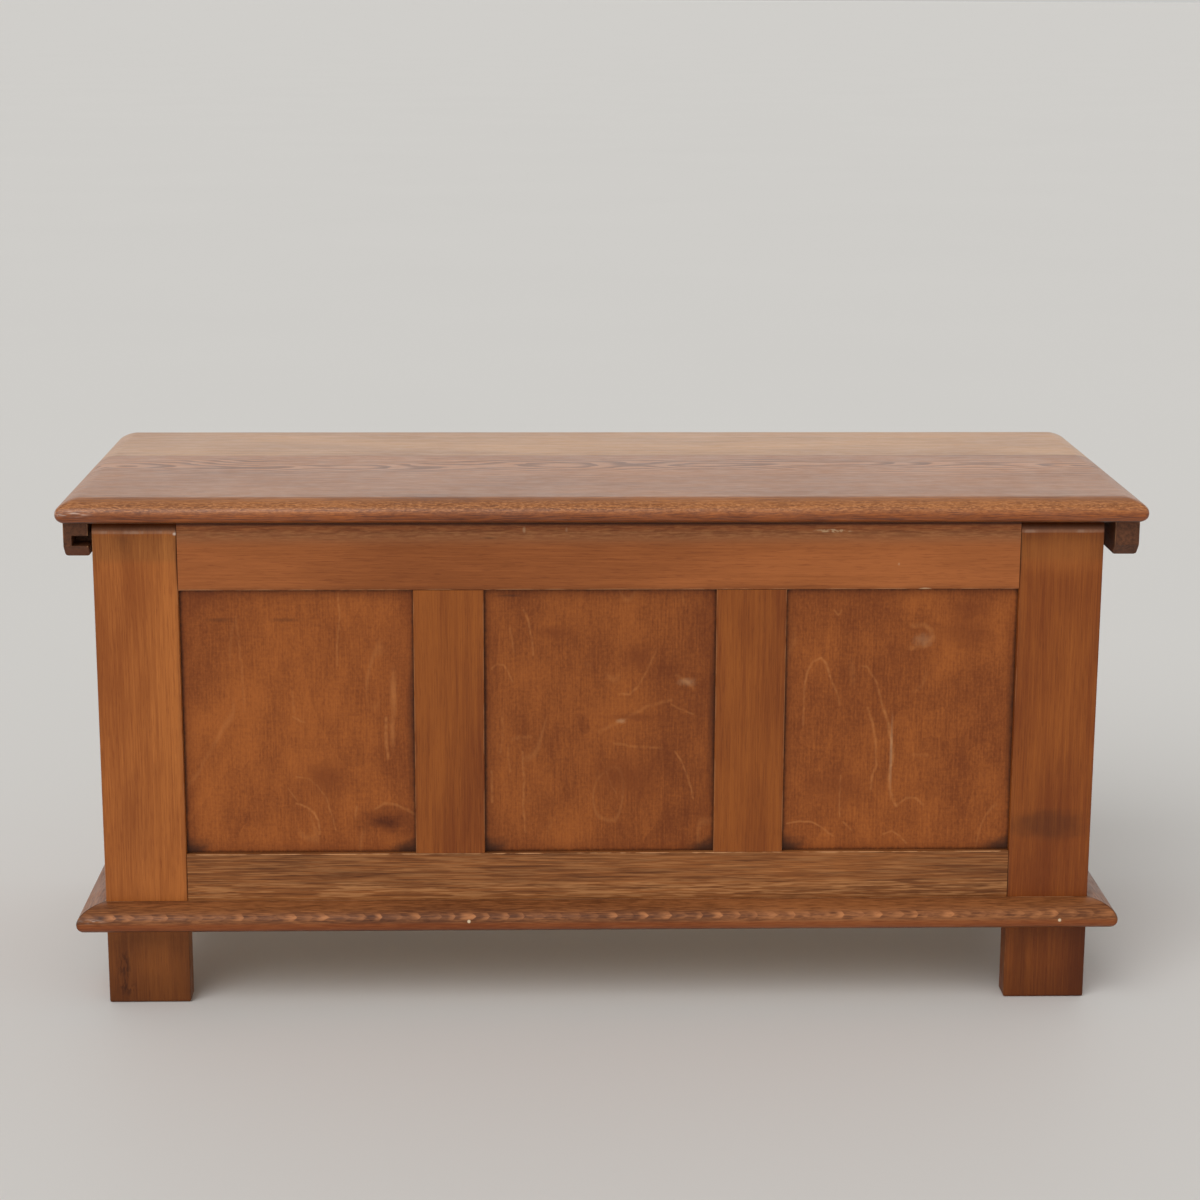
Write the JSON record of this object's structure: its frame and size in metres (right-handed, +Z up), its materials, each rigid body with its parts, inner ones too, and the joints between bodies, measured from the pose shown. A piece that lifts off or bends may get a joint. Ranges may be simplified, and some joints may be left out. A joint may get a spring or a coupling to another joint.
{
  "type": "blanket chest",
  "caption": "Low oak blanket chest with a panelled front, stile feet, a thumbnail base moulding and a hinged, moulded lid with cleated ends.",
  "frame": {"origin": "on the floor under the middle of the outline, halfway along the length and the depth", "axes": "+X along the length towards the chest's right end as seen from the front, +Y from the front towards the back, +Z up"},
  "size_m": [1.072, 0.4184, 0.526],
  "materials": {
    "stile_oak": "stained oak, satin wax",
    "rail_oak": "stained oak, satin wax",
    "panel_plywood": "stained plywood, satin",
    "end_oak": "stained oak, satin wax",
    "back_oak": "stained oak, dry",
    "bottom_plywood": "bare plywood",
    "batten_pine": "bare pine",
    "base_oak": "dark stained oak, satin wax",
    "lid_front_oak": "stained oak, waxed and worn",
    "lid_rear_oak": "stained oak, waxed and worn",
    "cleat_oak": "dark stained oak, matt",
    "hinge_brass": "dull brass",
    "screw_steel": "plain steel"
  },
  "bodies": {
    "carcass": {"front_stile_left": "stile_oak", "front_stile_right": "stile_oak", "front_top_rail": "rail_oak", "front_bottom_rail": "rail_oak", "front_muntin_left": "stile_oak", "front_muntin_right": "stile_oak", "front_panel_left": "panel_plywood", "front_panel_centre": "panel_plywood", "front_panel_right": "panel_plywood", "back_stile_left": "back_oak", "back_stile_right": "back_oak", "back_top_rail": "back_oak", "back_bottom_rail": "back_oak", "back_muntin": "back_oak", "back_panel_left": "panel_plywood", "back_panel_right": "panel_plywood", "left_end_front_stile": "end_oak", "left_end_rear_stile": "end_oak", "left_end_top_rail": "end_oak", "left_end_bottom_rail": "end_oak", "left_end_panel": "panel_plywood", "right_end_front_stile": "end_oak", "right_end_rear_stile": "end_oak", "right_end_top_rail": "end_oak", "right_end_bottom_rail": "end_oak", "right_end_panel": "panel_plywood", "bottom_panel": "bottom_plywood", "bottom_batten_front": "batten_pine", "bottom_batten_rear": "batten_pine", "bottom_batten_left": "batten_pine", "bottom_batten_right": "batten_pine", "base_moulding_front": "base_oak", "base_moulding_left": "base_oak", "base_moulding_right": "base_oak", "hinge_left_carcass_leaf": "hinge_brass", "hinge_left_pin": "hinge_brass", "hinge_right_carcass_leaf": "hinge_brass", "hinge_right_pin": "hinge_brass", "hinge_left_carcass_screw_1": "screw_steel", "hinge_left_carcass_screw_2": "screw_steel", "hinge_left_carcass_screw_3": "screw_steel", "hinge_right_carcass_screw_1": "screw_steel", "hinge_right_carcass_screw_2": "screw_steel", "hinge_right_carcass_screw_3": "screw_steel"},
    "lid": {"lid_front_board": "lid_front_oak", "lid_rear_board": "lid_rear_oak", "lid_cleat_left": "cleat_oak", "lid_cleat_right": "cleat_oak", "cleat_screw_left_1": "screw_steel", "cleat_screw_left_2": "screw_steel", "cleat_screw_right_1": "screw_steel", "cleat_screw_right_2": "screw_steel", "hinge_left_lid_leaf": "hinge_brass", "hinge_right_lid_leaf": "hinge_brass", "hinge_left_lid_screw_1": "screw_steel", "hinge_left_lid_screw_2": "screw_steel", "hinge_left_lid_screw_3": "screw_steel", "hinge_right_lid_screw_1": "screw_steel", "hinge_right_lid_screw_2": "screw_steel", "hinge_right_lid_screw_3": "screw_steel"}
  },
  "joints": [
    {"name": "lid_hinge", "type": "hinge", "parent": "carcass", "child": "lid", "pos_m": [0, 0.2032, 0.50185], "axis": [-1, 0, 0], "range_deg": [0, 97]}
  ]
}
